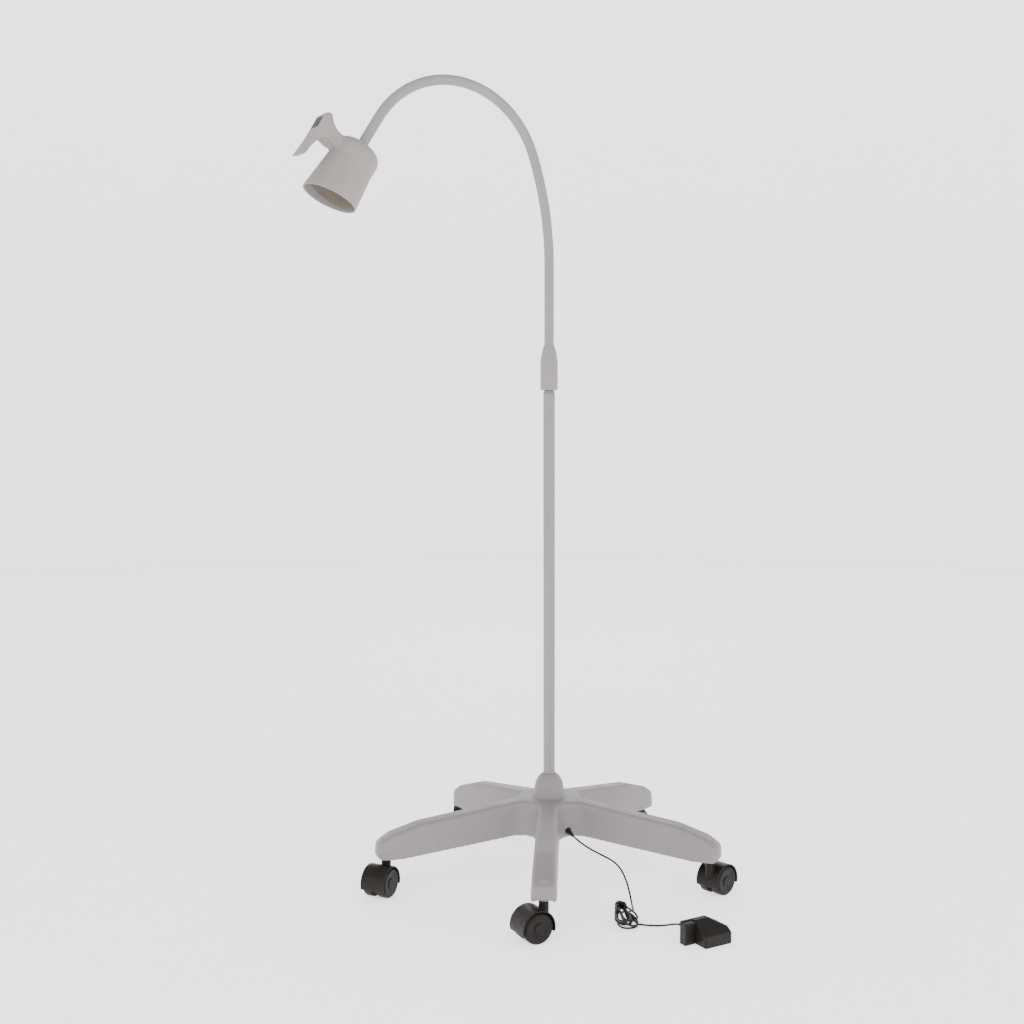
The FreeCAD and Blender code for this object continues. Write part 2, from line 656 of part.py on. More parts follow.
def make_gland():
    barrel = Part.makeCylinder(d.lead_hole_radius.value - d.fit_gap.value, GLAND_BARREL,
                               GLAND_SEAT - GLAND_AWAY * GLAND_BARREL, GLAND_AWAY)
    flange = Part.makeCylinder(d.gland_flange.value, GLAND_FLANGE, GLAND_SEAT, GLAND_AWAY)
    taper = Part.makeCone(4.2, 2.3, GLAND_TAPER, GLAND_SEAT + GLAND_AWAY * GLAND_FLANGE, GLAND_AWAY)
    bore = Part.makeCylinder(d.cord_radius.value, 40, GLAND_SEAT - GLAND_AWAY * 14, GLAND_AWAY)
    solid("cord_gland", barrel.fuse(flange).fuse(taper).cut(bore).removeSplitter())


def rounded_path(corners, label):
    """Straight runs joined by arcs as large as the runs allow."""
    edges = []
    here = corners[0]
    for before, corner, after in zip(corners, corners[1:], corners[2:]):
        way_in = (corner - before).normalize()
        way_out = (after - corner).normalize()
        half_turn = way_in.getAngle(way_out) / 2
        trim = 0.45 * min((corner - before).Length, (after - corner).Length)
        radius = trim / math.tan(half_turn)
        print("%s: bend radius %.1f mm" % (label, radius))
        start = corner - way_in * trim
        end = corner + way_out * trim
        inward = (way_out - way_in).normalize()
        middle = corner + inward * (radius / math.cos(half_turn) - radius)
        edges.append(Part.LineSegment(here, start).toShape())
        edges.append(Part.Arc(start, middle, end).toShape())
        here = end
    edges.append(Part.LineSegment(here, corners[-1]).toShape())
    return Part.Wire(edges)


def make_cord(label, corners):
    path = rounded_path(corners, label)
    radius = d.cord_radius.value
    ring = Part.Wire(Part.Circle(corners[0], corners[1] - corners[0], radius).toShape())
    tube = path.makePipeShell([ring], True, True)
    print("%s: length %.1f mm, volume ratio %.4f"
          % (label, path.Length, tube.Volume / (path.Length * math.pi * radius ** 2)))
    solid(label, tube)


# the hank lies on the floor: its far end, and the way it points towards its loops
HANK_PLACE = Placement(Vector(12, -205, 0), Rotation(UP, -114.6))
# along, half width, lowest, highest
HANK_SECTIONS = [(-6, 7.5, 3, 16), (-1, 11, 1.3, 18.2), (18, 11.6, 1.3, 18.2), (32, 15.5, 0.3, 18.6),
                 (50, 19, 0, 19), (70, 20.5, 0, 19), (86, 17.5, 0, 17.5), (94, 11, 2, 12)]


def hank_ring(along, half_width, low, high, extra):
    """One section across the hank: a flattened ring of straight edges."""
    middle = (low + high) / 2
    corners = []
    for k in range(12):
        angle = math.radians(30 * k + 15)
        y = math.copysign(abs(math.cos(angle)) ** 0.7, math.cos(angle)) * (half_width + extra)
        z = math.copysign(abs(math.sin(angle)) ** 0.7, math.sin(angle)) * ((high - low) / 2 + extra)
        corners.append(Vector(along, y, middle + z))
    return Part.makePolygon(corners + corners[:1])


def make_hank():
    rings = [hank_ring(*section, 0.0) for section in HANK_SECTIONS]
    bundle = Part.makeLoft(rings, True, True)
    solid("cord_hank", bundle, HANK_PLACE)
    band = Part.makeLoft([hank_ring(6, 11.3, 1.3, 18.2, 1.2), hank_ring(12, 11.5, 1.3, 18.2, 1.2)], True, True)
    solid("hank_tie", band.cut(bundle), HANK_PLACE)


def make_adapter():
    """A wall adapter lying on its side: the wedge-shaped case, its back with two blades, and the relief."""
    corner = Placement(ADAPTER_CORNER, Rotation())
    flat = Placement(ADAPTER_CORNER + Vector(25.5, 0, 0), Rotation())
    wedge = padded(None, "YZ_Plane", [(0, 0), (36, 0), (36, 36), (30, 37), (0, 18.5)], 51)
    slope = block("Box", (2, -10, 36), Rotation(Vector(0, 1, 0), 27), Length=60, Width=80, Height=30)
    case = cut(wedge, slope)
    case = round_edges(case, 3, lambda e: e.Length > 10 and e.BoundBox.YMax < 35.9 and e.BoundBox.ZMax > 1)
    keep("adapter_case", case, flat)
    back = block("Box", (-19, 36, 0), Length=70, Width=5, Height=36)
    lug = block("Box", (-19, 26, 0), Length=18.8, Width=10, Height=34.5)
    back_slope = block("Box", (28, -10, 36), Rotation(Vector(0, 1, 0), 27), Length=60, Width=80, Height=30)
    keep("adapter_back", cut(fuse(back, lug), back_slope), corner)
    blades = [block("Box", (x, 41, 17), Length=1.5, Width=16, Height=6.3) for x in (18, 30.7)]
    keep("adapter_blades", fuse(*blades), corner)
    cone = Part.makeCone(4.4, 2.4, d.relief_length.value, RELIEF_ROOT, RELIEF_AWAY)
    behind = Part.makeBox(200, 60, 200, Vector(-50, RELIEF_ROOT.y - 60, -50))
    solid("adapter_relief", cone.cut(behind))


def make_lead():
    """The supply wire inside the hub and the pole."""
    inlet = GLAND_SEAT - GLAND_AWAY * GLAND_BARREL
    corner = Vector(0, 0, d.gland_height.value + d.gland_radius.value * math.tan(DROOP))
    way_in = (corner - inlet).normalize()
    half_turn = way_in.getAngle(UP) / 2
    trim = 14.0
    radius = trim / math.tan(half_turn)
    start = corner - way_in * trim
    end = corner + UP * trim
    middle = corner + (UP - way_in).normalize() * (radius / math.cos(half_turn) - radius)
    top = Vector(0, 0, d.ferrule_bottom.value + 26)
    path = Part.Wire([Part.LineSegment(inlet, start).toShape(), Part.Arc(start, middle, end).toShape(),
                      Part.LineSegment(end, top).toShape()])
    ring = Part.Wire(Part.Circle(inlet, way_in, d.lead_radius.value).toShape())
    solid("pole_lead", path.makePipeShell([ring], True, True))


make_star_base()
make_pole()
make_stems()
for leg_name, leg_angle in zip(leg_names, leg_angles):
    make_caster(leg_name, leg_angle)
make_ferrule()
make_neck()
make_head()
make_gland()
make_lead()
make_cord("cord_to_hank", CORD_ROUTE)
make_cord("cord_to_adapter", ADAPTER_ROUTE)
make_hank()
make_adapter()
for number, along in enumerate(joint_distances(), start=1):
    spot, heading = neck_point(along)
    print("neck joint %d at x %.2f z %.2f heading %.2f" % (number, spot.x, spot.z, heading))
print("head place", head_place())

doc.recompute()
faults = []
for obj in doc.Objects:
    if "Invalid" in obj.State or "Error" in obj.State:
        faults.append("%s (%s) failed" % (obj.Name, obj.Label))
for label, obj in parts.items():
    if obj.Shape.isNull() or not obj.Shape.isValid() or not obj.Shape.Solids:
        faults.append("%s has no valid shape" % label)
if faults:
    raise RuntimeError("; ".join(faults))

os.makedirs("parts", exist_ok=True)
for label, obj in parts.items():
    obj.Shape.exportStep("parts/%s.step" % label)
    print("%s: %d solid(s), %.1f cm3" % (label, len(obj.Shape.Solids), obj.Shape.Volume / 1000))
print(len(parts), "sub-parts")
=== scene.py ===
import json
import math

import bpy
import numpy as np
from mathutils import Matrix, Vector


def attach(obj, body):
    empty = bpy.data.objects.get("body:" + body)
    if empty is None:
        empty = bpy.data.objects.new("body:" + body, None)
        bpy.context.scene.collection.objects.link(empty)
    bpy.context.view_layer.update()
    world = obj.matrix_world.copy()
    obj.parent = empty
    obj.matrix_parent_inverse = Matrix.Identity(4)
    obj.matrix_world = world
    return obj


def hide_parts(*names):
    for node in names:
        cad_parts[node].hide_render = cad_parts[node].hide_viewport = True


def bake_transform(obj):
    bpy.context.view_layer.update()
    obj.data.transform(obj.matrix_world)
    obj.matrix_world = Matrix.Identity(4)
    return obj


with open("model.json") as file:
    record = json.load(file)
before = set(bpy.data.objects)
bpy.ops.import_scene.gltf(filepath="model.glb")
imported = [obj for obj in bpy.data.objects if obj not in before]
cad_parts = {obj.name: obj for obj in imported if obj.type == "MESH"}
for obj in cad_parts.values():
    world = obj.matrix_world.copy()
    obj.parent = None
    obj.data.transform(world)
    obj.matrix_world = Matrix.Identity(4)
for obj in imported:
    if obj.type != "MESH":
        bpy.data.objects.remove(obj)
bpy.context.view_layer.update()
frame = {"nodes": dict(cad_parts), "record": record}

# Examination light on a gooseneck, on a five-caster stand. Metres, in the CAD frame.
MM = 0.001
nodes = frame["nodes"]
scene = bpy.context.scene
LEGS = ("right_rear", "rear", "left", "front", "right")


# ---------------------------------------------------------------- camera and stage

def make_camera():
    """The main view: 0.8 m up and 2.4 m from the pole, in front and to the left."""
    data = bpy.data.cameras.new("view")
    camera = bpy.data.objects.new("view", data)
    scene.collection.objects.link(camera)
    camera.location = (-1.2208, -2.0357, 0.8179)
    heading = Vector((0.51504, 0.85717))
    tilt_down = 0.1125
    level = math.cos(tilt_down)
    look = Vector((heading.x * level, heading.y * level, -math.sin(tilt_down)))
    camera.rotation_euler = look.to_track_quat("-Z", "Y").to_euler()
    data.sensor_width = 36.0
    data.lens = 48.96
    data.shift_x = -0.0374
    data.shift_y = 0.0527
    data.clip_start = 0.05
    data.clip_end = 50.0
    scene.camera = camera


def make_stage():
    """A pale floor that curves up into a backdrop all round."""
    sides, flat, rise = 96, 5.0, 6.0
    profile = [(0.0, 0.0), (flat, 0.0)]
    profile += [(flat + rise * math.sin(t), rise * (1 - math.cos(t))) for t in
                (math.pi / 2 * k / 16 for k in range(1, 17))]
    angles = [2 * math.pi * k / sides for k in range(sides)]
    verts, faces = [], []
    for radius, height in profile[1:]:
        verts += [(radius * math.cos(angle), radius * math.sin(angle), height) for angle in angles]
    faces.append(tuple(range(sides)))
    for ring in range(len(profile) - 2):
        for k in range(sides):
            low, next_low = ring * sides + k, ring * sides + (k + 1) % sides
            faces.append((low, next_low, next_low + sides, low + sides))
    mesh = bpy.data.meshes.new("floor")
    mesh.from_pydata(verts, [], faces)
    for face in mesh.polygons:
        face.use_smooth = face.index > 0
    floor = bpy.data.objects.new("floor", mesh)
    scene.collection.objects.link(floor)
    floor.location.z = -0.0002
    paint = surface("floor_paint", (0.9, 0.9, 0.9), 0.8, mottle=0.008, mottle_scale=3.0,
                    grain_scale=200.0, grain_depth=0.0001)
    glow = paint.node_tree.nodes["Principled BSDF"]
    glow.inputs["Emission Color"].default_value = (1.0, 1.0, 1.0, 1.0)
    glow.inputs["Emission Strength"].default_value = 1.3
    glow.inputs["Specular IOR Level"].default_value = 0.1
    mesh.materials.append(paint)


def make_light(name, place, aim, size, power):
    data = bpy.data.lights.new(name, "AREA")
    data.shape = "DISK"
    data.size = size
    data.energy = power
    lamp = bpy.data.objects.new(name, data)
    scene.collection.objects.link(lamp)
    lamp.location = place
    lamp.rotation_euler = (Vector(aim) - Vector(place)).to_track_quat("-Z", "Y").to_euler()


def make_lights():
    world = bpy.data.worlds.new("studio")
    scene.world = world
    world.use_nodes = True
    background = world.node_tree.nodes["Background"]
    background.inputs["Color"].default_value = (1.0, 1.0, 1.0, 1.0)
    background.inputs["Strength"].default_value = 0.8
    make_light("key", (-2.6, -1.6, 3.0), (-0.1, 0.0, 0.7), 1.8, 48.0)
    make_light("fill", (1.8, -2.6, 1.6), (0.0, 0.0, 0.5), 2.0, 16.0)
    make_light("back", (1.5, 2.6, 2.4), (0.0, 0.0, 0.6), 1.6, 18.0)


# ---------------------------------------------------------------- materials

def surface(name, colour, roughness, mottle=0.05, mottle_scale=14.0, grain_scale=1200.0, grain_depth=0.00004,
            metallic=0.0, rough_spread=0.06, scuff=0.0, rings=0.0):
    """A procedural finish: slow colour mottling, uneven roughness and a fine grain in the bump.

    rings is the pitch in metres of ridges across a mesh that has the attribute "along".
    """
    material = bpy.data.materials.new(name)
    material.use_nodes = True
    tree = material.node_tree
    shader = tree.nodes["Principled BSDF"]
    shader.inputs["Metallic"].default_value = metallic
    place = tree.nodes.new("ShaderNodeTexCoord").outputs["Object"]

    def noise(scale, detail):
        node = tree.nodes.new("ShaderNodeTexNoise")
        node.inputs["Scale"].default_value = scale
        node.inputs["Detail"].default_value = detail
        tree.links.new(place, node.inputs["Vector"])
        return node.outputs["Fac"]

    def ramp(source, low, high, from_low=0.3, from_high=0.7):
        node = tree.nodes.new("ShaderNodeMapRange")
        node.inputs["From Min"].default_value = from_low
        node.inputs["From Max"].default_value = from_high
        node.inputs["To Min"].default_value = low
        node.inputs["To Max"].default_value = high
        tree.links.new(source, node.inputs["Value"])
        return node.outputs["Result"]

    def blend(factor, first, second):
        node = tree.nodes.new("ShaderNodeMix")
        node.data_type = "RGBA"
        tree.links.new(factor, node.inputs["Factor"])
        for socket, value in ((node.inputs[6], first), (node.inputs[7], second)):
            if isinstance(value, tuple):
                socket.default_value = (*value, 1.0)
            else:
                tree.links.new(value, socket)
        return node.outputs[2]

    darker = tuple(c * (1 - mottle) for c in colour)
    lighter = tuple(min(1.0, c * (1 + mottle)) for c in colour)
    shade = blend(ramp(noise(mottle_scale, 5.0), 0.0, 1.0), darker, lighter)
    if scuff:
        worn = tuple(c * 0.72 for c in colour)
        shade = blend(ramp(noise(mottle_scale * 6, 8.0), 0.0, scuff, 0.58, 0.75), shade, worn)
    tree.links.new(shade, shader.inputs["Base Color"])
    rough = ramp(noise(mottle_scale * 3, 4.0), max(0.02, roughness - rough_spread), roughness + rough_spread)
    tree.links.new(rough, shader.inputs["Roughness"])
    bump = tree.nodes.new("ShaderNodeBump")
    bump.inputs["Strength"].default_value = 1.0
    bump.inputs["Distance"].default_value = grain_depth
    height = noise(grain_scale, 3.0)
    if rings:
        along = tree.nodes.new("ShaderNodeAttribute")
        along.attribute_name = "along"
        turns = tree.nodes.new("ShaderNodeMath")
        turns.operation = "MULTIPLY"
        turns.inputs[1].default_value = 2 * math.pi / rings
        tree.links.new(along.outputs["Fac"], turns.inputs[0])
        wave = tree.nodes.new("ShaderNodeMath")
        wave.operation = "SINE"
        tree.links.new(turns.outputs[0], wave.inputs[0])
        both = tree.nodes.new("ShaderNodeMath")
        both.operation = "MULTIPLY_ADD"
        tree.links.new(wave.outputs[0], both.inputs[0])
        both.inputs[1].default_value = 0.6
        tree.links.new(height, both.inputs[2])
        height = both.outputs[0]
    tree.links.new(height, bump.inputs["Height"])
    tree.links.new(bump.outputs["Normal"], shader.inputs["Normal"])
    return material


def matt(material, specular):
    """The same finish with a weaker mirror reflection."""
    material.node_tree.nodes["Principled BSDF"].inputs["Specular IOR Level"].default_value = specular
    return material


def make_materials():
    glass = surface("lens_glass", (0.05, 0.045, 0.04), 0.08, mottle=0.03,
                    grain_depth=0.000005, rough_spread=0.03)
    shader = glass.node_tree.nodes["Principled BSDF"]
    shader.inputs["Transmission Weight"].default_value = 0.35
    shader.inputs["IOR"].default_value = 1.49
    finishes = {
        "base_paint": surface("base_paint", (0.205, 0.182, 0.186), 0.46, mottle=0.05, mottle_scale=9.0,
                              grain_scale=1500.0, grain_depth=0.00005, scuff=0.25),
        "stand_paint": surface("stand_paint", (0.232, 0.214, 0.211), 0.42, mottle=0.04, mottle_scale=16.0,
                               grain_scale=1800.0, grain_depth=0.00003, scuff=0.12),
        "neck_sleeve": surface("neck_sleeve", (0.232, 0.214, 0.211), 0.5, mottle=0.045, mottle_scale=20.0,
                               grain_scale=2200.0, grain_depth=0.00004, rings=0.0016),
        "head_shell": surface("head_shell", (0.238, 0.214, 0.208), 0.48, mottle=0.04, mottle_scale=26.0,
                              grain_scale=2600.0, grain_depth=0.00004, scuff=0.1),
        "head_lining": surface("head_lining", (0.105, 0.088, 0.066), 0.55, mottle=0.07, mottle_scale=40.0,
                               grain_scale=2600.0, grain_depth=0.00005),
        "black_trim": surface("black_trim", (0.085, 0.07, 0.055), 0.4, mottle=0.15, mottle_scale=60.0),
        "lens": glass,
        "led": surface("led", (0.75, 0.62, 0.25), 0.35, mottle=0.1, mottle_scale=300.0),
        "circuit_board": surface("circuit_board", (0.03, 0.14, 0.07), 0.4, mottle=0.25, mottle_scale=500.0),
        "sensor_window": surface("sensor_window", (0.016, 0.012, 0.010), 0.45, mottle=0.2, mottle_scale=120.0,
                                 grain_depth=0.000008),
        "heat_sink": surface("heat_sink", (0.62, 0.62, 0.63), 0.35, metallic=1.0, mottle=0.06),
        "steel": surface("steel", (0.56, 0.55, 0.54), 0.3, metallic=1.0, mottle=0.08, mottle_scale=120.0),
        "bush": surface("bush", (0.17, 0.15, 0.15), 0.6, mottle=0.15),
        "caster_hood": surface("caster_hood", (0.009, 0.007, 0.006), 0.42, mottle=0.22, mottle_scale=35.0,
                               grain_scale=2500.0, grain_depth=0.00005, rough_spread=0.1, scuff=0.3),
        "caster_wheel": surface("caster_wheel", (0.008, 0.006, 0.0055), 0.52, mottle=0.25, mottle_scale=50.0,
                                grain_scale=1800.0, grain_depth=0.00006, rough_spread=0.12, scuff=0.3),
        "grommet": surface("grommet", (0.018, 0.016, 0.015), 0.55, mottle=0.15, mottle_scale=90.0),
        "cord": surface("cord", (0.016, 0.015, 0.015), 0.42, mottle=0.15, mottle_scale=60.0,
                        grain_depth=0.00002),
        "tie": surface("tie", (0.013, 0.012, 0.012), 0.7, mottle=0.2, mottle_scale=200.0,
                       grain_depth=0.0001),
        "adapter": surface("adapter", (0.010, 0.008, 0.007), 0.38, mottle=0.18, mottle_scale=40.0,
                           grain_scale=2200.0, grain_depth=0.00005, rough_spread=0.08, scuff=0.2),
        "blades": surface("blades", (0.75, 0.68, 0.5), 0.25, metallic=1.0, mottle=0.06, mottle_scale=200.0),
    }
    for slot in ("caster_hood", "caster_wheel", "adapter", "cord", "tie", "grommet", "sensor_window"):
        matt(finishes[slot], 0.16)
    for slot in ("base_paint", "stand_paint", "neck_sleeve", "head_shell", "head_lining"):
        matt(finishes[slot], 0.35)
    return finishes


# ---------------------------------------------------------------- mesh helpers

def piece(name, mesh, body, slot, *replaced):
    """A finished piece: linked, smooth, with its slot's material, riding on its body."""
    obj = bpy.data.objects.new(name, mesh)
    scene.collection.objects.link(obj)
    mesh.materials.clear()
    mesh.materials.append(materials[slot])
    for face in mesh.polygons:
        face.use_smooth = True
    if body:
        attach(obj, body)
    if replaced:
        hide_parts(*replaced)
    return obj


def applied(obj):
    """The object's mesh with its modifiers applied, after which the object is gone."""
    graph = bpy.context.evaluated_depsgraph_get()
    mesh = bpy.data.meshes.new_from_object(obj.evaluated_get(graph))
    bpy.data.objects.remove(obj)
    return mesh


def joined(*names):
    """A new object that holds copies of these CAD nodes' meshes."""
    points, faces = [], []
    for name in names:
        mesh = nodes[name].data
        start = len(points)
        points += [v.co.copy() for v in mesh.vertices]
        faces += [[start + i for i in p.vertices] for p in mesh.polygons]
    mesh = bpy.data.meshes.new("joined")
    mesh.from_pydata(points, [], faces)
    obj = bpy.data.objects.new("joined", mesh)
    scene.collection.objects.link(obj)
    return obj


def softened(names, voxel, rounds, weights=None, extra_rounds=0):
    """CAD solids as one moulded or cast skin with soft edges. weights(points) picks where it softens more."""
    obj = joined(*names)
    remesh = obj.modifiers.new("remesh", "REMESH")
    remesh.mode = "VOXEL"
    remesh.voxel_size = voxel
    smooth = obj.modifiers.new("smooth", "SMOOTH")
    smooth.factor = 0.5
    smooth.iterations = rounds
    mesh = applied(obj)
    if weights is None:
        return mesh
    obj = bpy.data.objects.new("softer", mesh)
    scene.collection.objects.link(obj)
    points = np.array([v.co for v in mesh.vertices], float)
    group = obj.vertex_groups.new(name="soft")
    for index, weight in enumerate(weights(points)):
        if weight > 0.01:
            group.add([index], float(weight), "REPLACE")
    smooth = obj.modifiers.new("smooth", "SMOOTH")
    smooth.factor = 0.5
    smooth.iterations = extra_rounds
    smooth.vertex_group = "soft"
    return applied(obj)


def tube(points, radius, sides=32):
    """A closed tube with sharp end rims through these points, and the ring number of each vertex."""
    points = [Vector(p) for p in points]
    verts, faces, rings = [], [], []
    side = None
    for i, here in enumerate(points):
        way = (points[min(i + 1, len(points) - 1)] - points[max(i - 1, 0)]).normalized()
        if side is None:
            side = way.orthogonal().normalized()
        side = (side - way * side.dot(way)).normalized()
        other = way.cross(side)
        r = radius[i] if hasattr(radius, "__len__") else radius
        for k in range(sides):
            angle = 2 * math.pi * k / sides
            verts.append(here + (side * math.cos(angle) + other * math.sin(angle)) * r)
            rings.append(i)
    for i in range(len(points) - 1):
        for k in range(sides):
            a, b = i * sides + k, i * sides + (k + 1) % sides
            faces.append((a, b, b + sides, a + sides))
    last = (len(points) - 1) * sides
    faces.append(tuple(reversed(range(sides))))
    faces.append(tuple(range(last, last + sides)))
    mesh = bpy.data.meshes.new("tube")
    mesh.from_pydata(verts, [], faces)
    mesh.update()
    rim = {frozenset((k, (k + 1) % sides)) for k in range(sides)}
    rim |= {frozenset((last + k, last + (k + 1) % sides)) for k in range(sides)}
    for edge in mesh.edges:
        if frozenset(edge.vertices) in rim:
            edge.use_edge_sharp = True
    return mesh, rings


# ---------------------------------------------------------------- cord

GLAND_TIP = Vector((4.288, -72.171, 91.819)) * MM
CORD_ROUTE = [(8, -92, 84.5), (14, -112, 78), (28, -131, 69.5), (43, -141, 60), (52, -150, 47),
              (53, -164, 31), (48, -182, 14), (40, -198, 6.5), (31, -213, 8), (22, -227, 11),
              (13, -244, 13.3)]
ADAPTER_ROUTE = [(-1, -283, 5), (11, -288, 2.8), (23, -296, 2.6), (30, -309, 6), (31.5, -325, 13)]
RELIEF_ROOT = Vector((28, -368, 28)) * MM
RELIEF_AWAY = Vector((0.1, 0.93, -0.35)).normalized()
RELIEF_LENGTH = 24
RELIEF_TIP = RELIEF_ROOT + RELIEF_AWAY * RELIEF_LENGTH * MM
INSIDE_ADAPTER = [(34, -370.5, 21), (52, -370.5, 15), (66, -378, 12), (70, -386, 12)]
CORD_RADIUS = 1.6 * MM
HANK_PLACE = Matrix.Translation((12 * MM, -205 * MM, 0)) @ Matrix.Rotation(math.radians(-114.6), 4, "Z")
TURNS = 7


def hank_points():
    """The hank's turns: loops tied near one end, each a little lower, and fanned out at the other."""
    low, high = 1.8, 17.2
    sway = (-6.0, 6.0, 0.0, -7.5, 7.5, -3.0, 2.0)
    reach = (90.0, 84.0, 93.0, 80.0, 88.0, 76.0, 86.0)
    widths = (10.0, 10.0, 5.0, 8.5, 8.5, 9.0, 14.0)
    points = []
    for turn in range(TURNS):
        wide = widths[turn]
        tight = 6.6 if turn % 2 == 0 else 5.0
        end, back = reach[turn], (-3.5 if turn % 2 == 0 else -1.0)
        # along, across and share of the sway: out on one side, round the loop, back, round the tied end
        outline = [(34, wide - 1.5, 0.5), (50, wide + 0.5, 0.9), (66, wide + 1.5, 1), (end - 9, wide, 1),
                   (end, wide * 0.5, 1), (end, -wide * 0.5, 1), (end - 9, -wide, 1), (66, -wide - 1.5, 1),
                   (50, -wide - 0.5, 0.9), (34, -wide + 1.5, 0.5), (20, -tight - 1.2, 0.15), (6, -tight, 0),
                   (back, -tight * 0.6, 0), (back, tight * 0.6, 0), (6, tight, 0), (20, tight + 1.2, 0.15)]
        for step, (along, across, fanned) in enumerate(outline):
            if turn == 0 and step < 1:
                continue
            share = (turn + step / len(outline)) / TURNS
            height = high + (low - high) * share
            if along < 30:
                height = 2.9 + (height - low) * 0.86
            spot = Vector((along, across + fanned * sway[turn], height)) * MM
            points.append(HANK_PLACE @ spot)
    way_out = [(36, 11.5, 2.6), (54, 15.5, 2.2), (68, 18.5, 2.2)]
    return points + [HANK_PLACE @ (Vector(p) * MM) for p in way_out]


def cord_points():
    """The whole cord: out of the gland, through the hank, and on into the adapter."""
    route = [Vector(p) * MM for p in CORD_ROUTE]
    onward = [Vector(p) * MM for p in ADAPTER_ROUTE]
    inside = GLAND_TIP - Vector((0.00055, -0.00925, -0.00375)) * 0.6
    hidden = [Vector(p) * MM for p in INSIDE_ADAPTER]
    return [inside, GLAND_TIP] + route + hank_points() + onward + [RELIEF_TIP, RELIEF_ROOT] + hidden


def make_cord():
    data = bpy.data.curves.new("supply_cord", "CURVE")
    data.dimensions = "3D"
    spline = data.splines.new("NURBS")
    points = cord_points()
    spline.points.add(len(points) - 1)
    for point, place in zip(spline.points, points):
        point.co = (*place, 1.0)
    spline.order_u = 3
    spline.use_endpoint_u = True
    spline.resolution_u = 8
    data.bevel_depth = CORD_RADIUS
    data.bevel_resolution = 5
    data.use_fill_caps = True
    data.materials.append(materials["cord"])
    cord = bpy.data.objects.new("supply_cord", data)
    scene.collection.objects.link(cord)
    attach(cord, "stand")
    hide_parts("cord_to_hank", "cord_to_adapter", "cord_hank")
    return cord


# ---------------------------------------------------------------- gooseneck

NECK_START = 915.0
# length and bend radius of each stretch, in millimetres; a radius of 0 is straight
NECK_STRETCHES = [(141.0, 0.0), (math.radians(20) * 519, 519.0),
                  (math.radians(127) * 155, 155.0), (70.0, 0.0)]
NECK_RADIUS = 8.0
NECK_JOINT_GAP = 88.0
NECK_JOINTS = [51.0 + NECK_JOINT_GAP * k for k in range(8)]
NECK_LENGTH = sum(length for length, _ in NECK_STRETCHES)


def neck_point(along):
    """A point of the gooseneck's centre line, in metres, at a distance along it in millimetres."""
    x, z, heading = 0.0, NECK_START, math.pi / 2
    for length, radius in NECK_STRETCHES:
        step = min(max(along, 0.0), length)
        if radius == 0.0:
            x += math.cos(heading) * step
            z += math.sin(heading) * step
        else:
            turn = step / radius
            x += radius * (math.sin(heading + turn) - math.sin(heading))
            z -= radius * (math.cos(heading + turn) - math.cos(heading))
            heading += turn
        along -= step
        if along <= 0:
            break
    return Vector((x, 0, z)) * MM


def neck_cover(name, start, end, replaced):
    """One stretch of the sleeve, from start to end in millimetres along the gooseneck."""
    count = max(4, round((end - start) / 2.0))
    alongs = [start + (end - start) * i / count for i in range(count + 1)]
    mesh, rings = tube([neck_point(a) for a in alongs], NECK_RADIUS * MM, 40)
    attribute = mesh.attributes.new("along", "FLOAT", "POINT")
    attribute.data.foreach_set("value", [alongs[r] * MM for r in rings])
    return piece(name, mesh, None, "neck_sleeve", replaced)


def make_neck():
    """The sleeve: each cover spans one joint and meets the next between two joints."""
    half = NECK_JOINT_GAP / 2
    reach = 32.0
    foot = neck_cover("neck_cover_0", 0.0, NECK_JOINTS[0] - half, "neck_base")
    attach(foot, "neck_foot")
    for k, joint in enumerate(NECK_JOINTS, start=1):
        end = joint + half if k < len(NECK_JOINTS) else NECK_LENGTH
        cover = neck_cover("neck_cover_%d" % k, joint - half, end, "neck_section_%d" % k)
        neck_point(joint - reach)
        neck_point(joint + reach)
        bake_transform(cover)


# ---------------------------------------------------------------- head

HEAD_PLACE = (Matrix.Translation((-390.82 * MM, 0, 1135.76 * MM)) @ Matrix.Rotation(math.pi, 4, "Z")
              @ Matrix.Rotation(math.radians(-33), 4, "Y"))


def handle_root(points):
    """How close points are to the crease where the handle springs from the head's side."""
    back = np.array(HEAD_PLACE.inverted(), float)
    local = (points @ back[:3, :3].T + back[:3, 3]) / MM
    off_side = np.abs(np.hypot(local[:, 0], local[:, 1]) - 38.5)
    off_edge = np.abs(np.abs(local[:, 1]) - 17.5)
    near = np.exp(-(off_side ** 2 + off_edge ** 2) / 60.0)
    return near * (local[:, 0] > 0) * (local[:, 2] > 56)


def make_head():
    mesh = softened(["head_front_shell", "head_rear_housing"], 1.1 * MM, 5, handle_root, 60)
    piece("head_housing", mesh, "head", "head_shell", "head_front_shell", "head_rear_housing")


# ---------------------------------------------------------------- stand

def make_base():
    piece("star_casting", softened(["star_base"], 1.5 * MM, 22), "stand", "base_paint", "star_base")


def make_casters():
    for leg in LEGS:
        hood = "caster_hood_" + leg
        piece(hood + "_moulding", softened([hood], 0.8 * MM, 5), "caster_" + leg, "caster_hood", hood)


def make_adapter():
    made = []
    for node, rounds in (("adapter_case", 6), ("adapter_back", 4)):
        mesh = softened([node], 0.8 * MM, rounds)
        made.append(piece(node + "_moulding", mesh, "stand", "adapter", node))
    return made


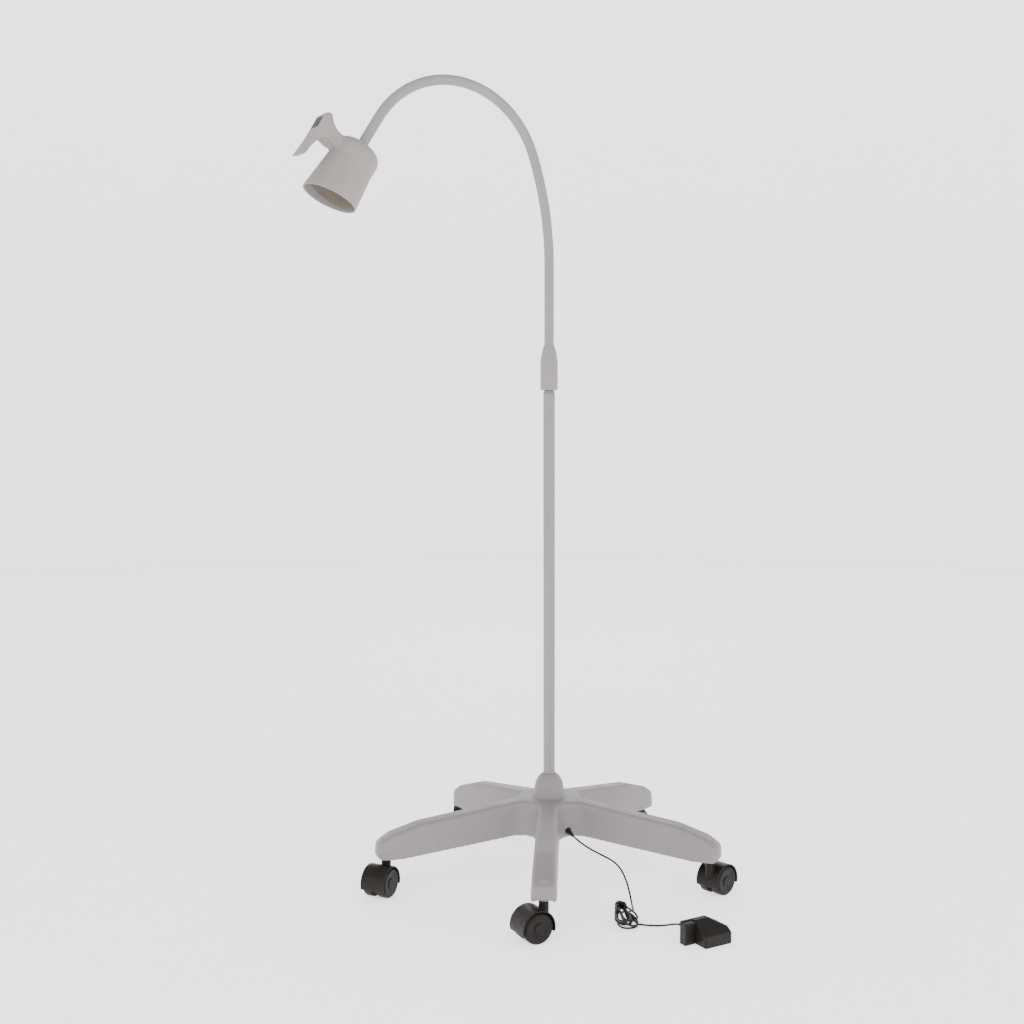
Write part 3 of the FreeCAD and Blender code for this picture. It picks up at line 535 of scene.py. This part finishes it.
def make_relief():
    """The adapter's tapered strain relief, with rounded ribs."""
    count, ribs = 72, 6
    points, radii = [], []
    for i in range(count + 1):
        share = i / count
        rib = 0.5 + 0.5 * math.cos(2 * math.pi * ribs * share)
        points.append(RELIEF_ROOT + RELIEF_AWAY * RELIEF_LENGTH * share * MM)
        radii.append((4.4 - 2.0 * share - 0.45 * (1 - rib)) * MM)
    mesh, _ = tube(points, radii, 28)
    return piece("adapter_relief_moulding", mesh, "stand", "grommet", "adapter_relief")


def make_tie():
    """A soft strap drawn tight round the hank's narrow end."""
    half_width, low, high, thick = 8.6, 1.0, 18.4, 1.1
    middle = (low + high) / 2
    half_height = middle - low - 0.4
    squareness = 0.6
    around = 56
    # along the hank, and how far out as a share of the strap's thickness
    rows = ((5.0, 0.35), (5.5, 1.0), (9.0, 1.12), (12.5, 1.0), (13.0, 0.35), (12.8, 0.0), (5.2, 0.0))
    verts, faces = [], []
    for along, outward in rows:
        for k in range(around):
            angle = 2 * math.pi * k / around
            wave = 0.25 * math.sin(3 * angle + along)
            side = math.copysign(abs(math.cos(angle)) ** squareness, math.cos(angle))
            rise = math.copysign(abs(math.sin(angle)) ** squareness, math.sin(angle))
            across = side * (half_width + outward * thick)
            up = rise * (half_height + outward * 0.4)
            verts.append(HANK_PLACE @ (Vector((along + wave, across, middle + up)) * MM))
    for row in range(len(rows)):
        for k in range(around):
            here, beside = row * around, ((row + 1) % len(rows)) * around
            faces.append((here + k, here + (k + 1) % around, beside + (k + 1) % around, beside + k))
    mesh = bpy.data.meshes.new("strap")
    mesh.from_pydata(verts, [], faces)
    return piece("hank_strap", mesh, "stand", "tie", "hank_tie")


# ---------------------------------------------------------------- carried-over nodes

def finish_nodes():
    """Every CAD node that still shows gets its finish, and a small rounding on its edges."""
    slots = {s["node"]: s["material_slot"] for s in frame["record"]["subparts"]}
    for name, node in nodes.items():
        node.data.materials.clear()
        node.data.materials.append(materials[slots[name]])
        if node.hide_render:
            continue
        weld = node.modifiers.new("weld", "WELD")
        weld.merge_threshold = 0.01 * MM
        bevel = node.modifiers.new("bevel", "BEVEL")
        bevel.width = 0.25 * MM
        bevel.segments = 2
        bevel.limit_method = "ANGLE"
        bevel.angle_limit = math.radians(40)
        bevel.use_clamp_overlap = True


materials = make_materials()
make_camera()
make_stage()
make_lights()
supply_cord = make_cord()
make_neck()
make_head()
make_base()
make_casters()
adapter_pieces = make_adapter() + [make_relief(), make_tie()]
finish_nodes()
